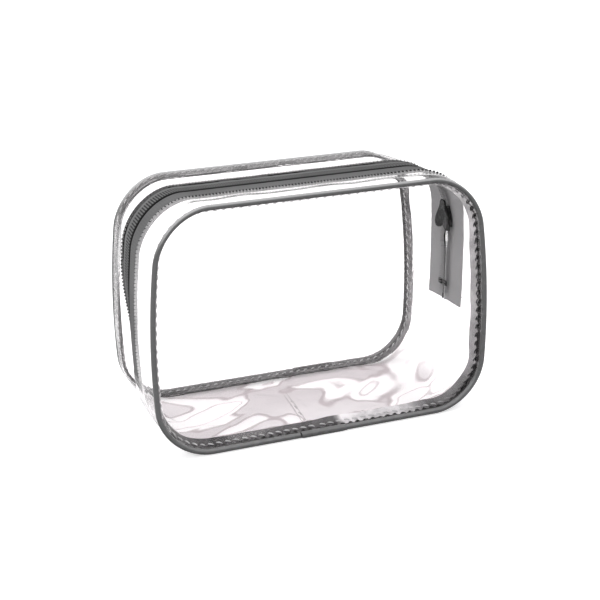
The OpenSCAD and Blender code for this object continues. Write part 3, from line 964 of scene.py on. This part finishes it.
def vinyl_material(name, bead, tones, shade_strength=1.0, lap=0.0, coat=0.6):
    """Glossy vinyl. uv gives the distance along the edge and the depth down the flange, 0 on the bead. The
    flange is thinner and its tone changes along the edge, as (share of the length, tone) pairs, with painted
    reflection in its pale stretches; the needle holes and painted shade in the crease beside the bead are
    dark. The bead has a painted highlight where it faces up and painted shade where it faces down, and a
    painted shadow line across it at the distance lap, beside the join."""
    made, tree, coords = new_material(name)
    where = coords["Object"]
    along, depth, _ = axes(coords["UV"])
    across, _, height = axes(where)
    waves = use(WRINKLES, {"Vector": where, "Slow Scale": 90.0, "Fine Scale": 700.0, "Fine Share": 0.25})

    # painted reflection: the flange's tone along the edge is pale where it stands in for the film's
    # reflections
    stops = add(tree, "ValToRGB", {0: calc("DIVIDE", along, LENGTH)})
    for index, (share, tone) in enumerate(tones):
        element = stops.color_ramp.elements[index] if index < 2 else stops.color_ramp.elements.new(share)
        element.position, element.color = share, grey(tone)
    shade = ramp(noise(where, 75.0, 3.0, 0.6), 0.3, 0.75, 0.62, 1.25)
    flange = blend(1.0, stops.outputs[0], shade, "MULTIPLY")

    # painted light: the bead is painted paler where it faces up, most along the top run, and darker where it
    # faces down
    upright = axes(add(tree, "NewGeometry").outputs["Normal"])[2]
    overhead_highlight = mul(ramp(upright, 0.15, 0.75), ramp(height, 20 * MM, 110 * MM, 0.4, 1.0))
    painted_bead_light = blend(ramp(upright, -0.6, 0.1), grey(bead * 0.3), grey(bead))
    painted_bead_light = blend(overhead_highlight, painted_bead_light, grey(bead * 4.5))
    colour = blend(ramp(depth, 1.4 * MM, 2.4 * MM), painted_bead_light, flange)

    # painted shade: the shade in the crease beside the bead, with the needle holes, reaches further down the
    # flange at each stitch and on the right side
    right = ramp(across, 70 * MM, 86 * MM)
    reach = mul_add(sine(along, 4.6 * MM), 0.5 * MM, mul_add(noise(where, 420.0, 2.0), 2.0 * MM, 2.1 * MM))
    reach = mul_add(right, 1.3 * MM, reach)
    crease_shade_band = mul(ramp(calc("SUBTRACT", reach, depth), -0.1 * MM, 0.25 * MM), ramp(depth, 0.6 * MM, 1.4 * MM))
    some = calc("MAXIMUM", ramp(noise(where, 14.0, 1.0), 0.38, 0.55, 0.5, 1.0), right)
    # painted shadow: a dark line across the bead beside the join
    line = ramp(calc("ABSOLUTE", calc("SUBTRACT", along, lap)), 0.35 * MM, 0.6 * MM, 1.0, 0.0)
    line = mul(line, ramp(depth, 1.9 * MM, 2.4 * MM, shade_strength, 0.0))
    colour = blend(calc("MAXIMUM", mul(mul(crease_shade_band, some), shade_strength), line), colour, grey(0.006))
    show(tree, add(tree, "BsdfPrincipled", {
        "Base Color": colour, "Roughness": ramp(waves["Mask"], 0, 1, 0.2, 0.32), "IOR": 1.5,
        "Specular IOR Level": 0.3, "Coat Weight": coat, "Coat Roughness": 0.1,
        "Normal": bump(waves["Height"], 0.3, 0.5 * MM)}))
    return made


def tape_material(name, base, ribbed, lap):
    """Woven tape. uv gives the distance along it and the distance from the zip's middle, where its edge has
    a painted shadow. lap is the tone under the lap of film, paler on the front as painted reflection, and
    the tape's inner face is painted paler than its outer one, as painted light."""
    made, tree, coords = new_material(name)
    woven = use(WEAVE, {"Vector": coords["UV"]})
    across = axes(coords["UV"])[1]
    colour = blend(ramp(noise(coords["Object"], 45.0), 0.3, 0.7), grey(base * 0.9), grey(base * 1.1))
    colour = blend(mul(woven["Cloth"], 0.3), colour, grey(base * 0.55))
    # painted shade in the valleys between the coil's ribs
    rib_valley_shade = mul(calc("SUBTRACT", woven["Band"], woven["Ribs"]), ribbed)
    colour = blend(rib_valley_shade, colour, grey(0.004))
    # painted reflection: the tone under the lap of film, paler on the front where the film over it reflects
    # light, darker on the rear
    colour = blend(ramp(across, MID - LAP_EDGE, MID - LAP_EDGE + 0.5 * MM), colour, grey(lap))
    # painted shadow along the zip's middle, where the tapes meet
    colour = blend(ramp(across, 2.0 * MM, 2.8 * MM, 1.0, 0.0), colour, grey(0.004))

    from_middle = add(tree, "VectorMath", {0: coords["Object"], 1: MIDDLE}, operation="SUBTRACT").outputs[0]
    normal = add(tree, "NewGeometry").outputs["Normal"]
    outwards = add(tree, "VectorMath", {0: from_middle, 1: normal}, operation="DOT_PRODUCT")
    # painted light: the tape's inner face is a paler, lit copy of the tape
    inner = blend(woven["Cloth"], grey(0.24), grey(0.32))
    colour = blend(ramp(outwards.outputs["Value"], -6 * MM, 0, 1.0, 0.0), colour, inner)
    height = mul_add(woven["Ribs"], 2.0 * ribbed, mul(woven["Cloth"], 0.5))
    show(tree, add(tree, "BsdfPrincipled", {
        "Base Color": colour, "Roughness": 0.78, "IOR": 1.45, "Specular IOR Level": 0.2,
        "Sheen Weight": 0.04, "Sheen Roughness": 0.5, "Normal": bump(height, 0.6, 0.15 * MM)}))
    return made


def thread_material(name, base, shaded_right=False):
    """Twisted thread; on a front seam it has painted shade down the right side, where it lies in the dark
    crease beside the bead.
    """
    made, tree, coords = new_material(name)
    strands = use(TWIST, {"Vector": coords["UV"]})["Height"]
    colour = blend(strands, grey(base * 0.6), grey(base))
    if shaded_right:
        # painted shade: the thread darkens down the right side
        colour = blend(ramp(axes(coords["Object"])[0], 60 * MM, 84 * MM), colour, grey(0.015))
    show(tree, add(tree, "BsdfPrincipled", {
        "Base Color": colour, "Roughness": 0.55, "IOR": 1.4, "Sheen Weight": 0.2 * base,
        "Sheen Roughness": 0.4, "Normal": bump(strands, 0.5, 0.05 * MM)}))
    return made


def plastic_material(name, scale, detail, tones, rough, ior, relief):
    """Plain plastic, faintly clouded in its tone, gloss and surface."""
    made, tree, coords = new_material(name)
    cloud = noise(coords["Object"], scale, detail)
    show(tree, add(tree, "BsdfPrincipled", {
        "Base Color": blend(cloud, grey(tones[0]), grey(tones[1])),
        "Roughness": ramp(cloud, 0.3, 0.7, *rough), "IOR": ior, "Normal": bump(cloud, 0.2, relief)}))
    return made


def metal_material():
    """Black coating over a zinc casting, rubbed bright in small patches."""
    made, tree, coords = new_material("black_coated_casting")
    marks = use(SCUFFS, {"Vector": coords["Object"], "Scale": 330.0})
    show(tree, add(tree, "BsdfPrincipled", {
        "Base Color": blend(marks["Rubbed"], grey(0.008), grey(0.14)),
        "Metallic": mul(marks["Rubbed"], 0.3), "Roughness": ramp(marks["Grain"], 0.2, 0.8, 0.5, 0.65),
        "IOR": 1.25, "Normal": bump(marks["Grain"], 0.15, 0.05 * MM)}))
    return made


def floor_material():
    """Pale and even; it looks dimmer in reflections, as a floor does that is
    lit only where the bag stands."""
    made, tree, coords = new_material("pale_floor")
    in_mirror = add(tree, "LightPath").outputs["Is Reflection Ray"]
    show(tree, add(tree, "BsdfPrincipled", {
        "Base Color": blend(noise(coords["Object"], 3.0, 2.0), grey(0.86), grey(0.88)),
        "Roughness": 0.6, "IOR": 1.3, "Emission Color": (1, 1, 1, 1),
        "Emission Strength": mul_add(in_mirror, -FLOOR_GLOW, FLOOR_GLOW)}))
    return made


# ---------------------------------------------------------------------------
# Camera, light and floor
# ---------------------------------------------------------------------------
AZIMUTH, ELEVATION, ROLL = (math.radians(a) for a in (-21.468, 18.359, -1.159))
DISTANCE = 780.3 * MM
FLOOR_GLOW, FLOOR_HALF, FLOOR_DROP = 0.55, 6.0, 0.2 * MM


def camera():
    """The camera, turned about the bag's middle."""
    level = Vector((math.sin(AZIMUTH), -math.cos(AZIMUTH), 0))
    back = level * math.cos(ELEVATION) + Vector((0, 0, math.sin(ELEVATION)))
    right = Vector((math.cos(AZIMUTH), math.sin(AZIMUTH), 0))
    up = back.cross(right)
    side = right * math.cos(ROLL) + up * math.sin(ROLL)
    top = up * math.cos(ROLL) - right * math.sin(ROLL)
    data = bpy.data.cameras.new("camera")
    data.lens, data.sensor_width, data.shift_x, data.shift_y = 85.57, 36.0, 0.00925, -0.01587
    data.clip_start = 0.01
    made = linked("camera", data)
    spot = Vector(MIDDLE) + back * DISTANCE
    made.matrix_world = Matrix.Translation(spot) @ Matrix((side, top, back)).transposed().to_4x4()
    bpy.context.scene.camera = made


def lamp(name, spot, aim, size, power):
    """Rectangular area lamp at the spot, turned towards aim."""
    data = bpy.data.lights.new(name, "AREA")
    data.shape, data.size, data.size_y, data.energy = "RECTANGLE", *size, power
    spot = Vector(spot)
    turn = (Vector(aim) - spot).to_track_quat("-Z", "Y")
    linked(name, data).matrix_world = Matrix.LocRotScale(spot, turn, None)


def surroundings():
    """Even light from the world, two soft lamps and a wide floor."""
    scene = bpy.context.scene
    scene.view_settings.view_transform = "Standard"
    world = bpy.data.worlds.new("studio")
    scene.world = world
    world.use_nodes = True
    tree = world.node_tree
    tree.nodes.clear()
    up = axes(add(tree, "TexCoord").outputs["Generated"])[2]
    seen = add(tree, "LightPath").outputs["Is Camera Ray"]
    level = calc("ADD", ramp(up, 0.0, 0.9, 0.5, 0.95), mul(seen, 0.6))
    show(tree, add(tree, "Background", {"Color": (1, 1, 1, 1), "Strength": level}), "World")
    lamp("overhead", (-0.1, 0.2, 1.1), (0, 0, 0.05), (1.1, 0.25), 2.0)
    lamp("key", (-0.9, -0.7, 0.7), (0, 0, 0.05), (0.5, 0.5), 4.0)
    corners = np.array([(0, 0), (1, 0), (1, 1), (0, 1)])
    verts = np.column_stack([(2 * corners - 1) * FLOOR_HALF, np.full(4, -FLOOR_DROP)])
    floor = mesh_object("floor", verts, [[0, 1, 2, 3]], corners)
    floor.data.materials.append(floor_material())


# ---------------------------------------------------------------------------
# Everything together
# ---------------------------------------------------------------------------
def put(piece, material, node, body="bag"):
    """Give the piece its material, hide the frame's node that it stands for and put it under its body."""
    piece.data.materials.append(material)
    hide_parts(node)
    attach(piece, body)
    return piece


camera()
surroundings()

# tones of the flange along its edge, from the middle of the top clockwise; the pale stretches are painted
# reflection of the film over the flange
FRONT_FLANGE_PAINTED_LIGHT = (
    (0.0, 0.1), (1.0, 0.11), (0.014, 0.1), (0.019, 0.9), (0.09, 0.8), (0.11, 0.16), (0.17, 0.22),
    (0.2, 0.45), (0.32, 0.42), (0.39, 0.3), (0.82, 0.25), (0.88, 0.1))
REAR_FLANGE_PAINTED_LIGHT = (
    (0.0, 0.15), (1.0, 0.14), (0.12, 0.16), (0.17, 0.38), (0.22, 0.3), (0.37, 0.07), (0.62, 0.06),
    (0.8, 0.11))


def join_shadow_at(side):
    """Where the painted shadow line beside the cover's join lies along the path."""
    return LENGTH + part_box(side + "_piping_join")[0].x - 0.4 * MM


panel_film = film_material("panel_film", (0.985, 0.975, 0.978, 1))
gusset_film = film_material("gusset_film", (0.98, 0.965, 0.97, 1), shaded_floor=True)
vinyls = {False: vinyl_material("grey_vinyl_front", 0.09, FRONT_FLANGE_PAINTED_LIGHT, lap=join_shadow_at("front")),
          True: vinyl_material("grey_vinyl_rear", 0.11, REAR_FLANGE_PAINTED_LIGHT, 0.7, join_shadow_at("rear"), 0.12)}
join_vinyl = vinyl_material("grey_vinyl_lap", 0.08, ((0.0, 0.1), (1.0, 0.1)), 0.0)
tapes = {False: tape_material("zip_tape_plain", 0.15, 0.1, 0.32),
         True: tape_material("zip_tape_ribbed", 0.19, 1.0, 0.06)}
pale_thread = thread_material("pale_thread", 0.75)
seam_threads = {False: thread_material("front_seam_thread", 0.75, True), True: pale_thread}
dark_thread = thread_material("dark_thread", 0.012)
nylon = plastic_material("coil_nylon", 260.0, 3.0, (0.16, 0.22), (0.3, 0.45), 1.53, 0.05 * MM)
cord_plastic = plastic_material("extruded_cord", 180.0, 4.0, (0.7, 0.85), (0.35, 0.5), 1.49, 0.1 * MM)
metal = metal_material()

cord_s = np.linspace(0, LENGTH, 300, endpoint=False)
depth_axis = np.tile([0.0, 1.0, 0.0], (300, 1))
for side, rear in (("front", False), ("rear", True)):
    cover = put(piping_cover(side + "_piping_vinyl", rear, 5 + rear), vinyls[rear],
                side + "_piping_cover")
    cord = tube(side + "_piping_cord_core", place(cord_s, 0, 0, rear), depth_axis, 0.95 * MM, 10, True)
    put(cord, cord_plastic, side + "_piping_cord")
    put(piping_join(side + "_piping_lap", rear), join_vinyl, side + "_piping_join")
    panel = put(film_panel(side + "_panel_film", rear, 21 + rear), panel_film,
                side + "_panel")
    strip = put(zip_strip("zip_strip_" + side + "_film", rear, 31 + rear), panel_film,
                "zip_strip_" + side)
    tape = put(zip_tape("zip_tape_" + side + "_woven", rear, 41 + rear), tapes[rear],
               "zip_tape_" + side)
    put(zip_coil("zip_coil_" + side + "_turns", rear), nylon, "zip_coil_" + side)
    put(seam_stitches("seam_stitches_" + side, rear), seam_threads[rear], "seam_thread_" + side)
    put(lap_stitches("zip_stitches_" + side, rear), dark_thread, "zip_thread_" + side)

gusset = put(bottom_gusset(), gusset_film, "bottom_gusset")
put(side_stitches("side_stitches_left", 33 * MM, True), pale_thread, "side_seam_thread_left")
put(side_stitches("side_stitches_right", 53 * MM, False), pale_thread, "side_seam_thread_right")
put(end_tack(), dark_thread, "zip_end_tack")
put(slider(), metal, "slider_body", "slider")
put(tab(), metal, "pull_tab", "tab")
for node in ("zip_top_stops", "zip_bottom_stop"):
    stops = bpy.data.objects[node].data
    stops.materials.clear()
    stops.materials.append(metal)
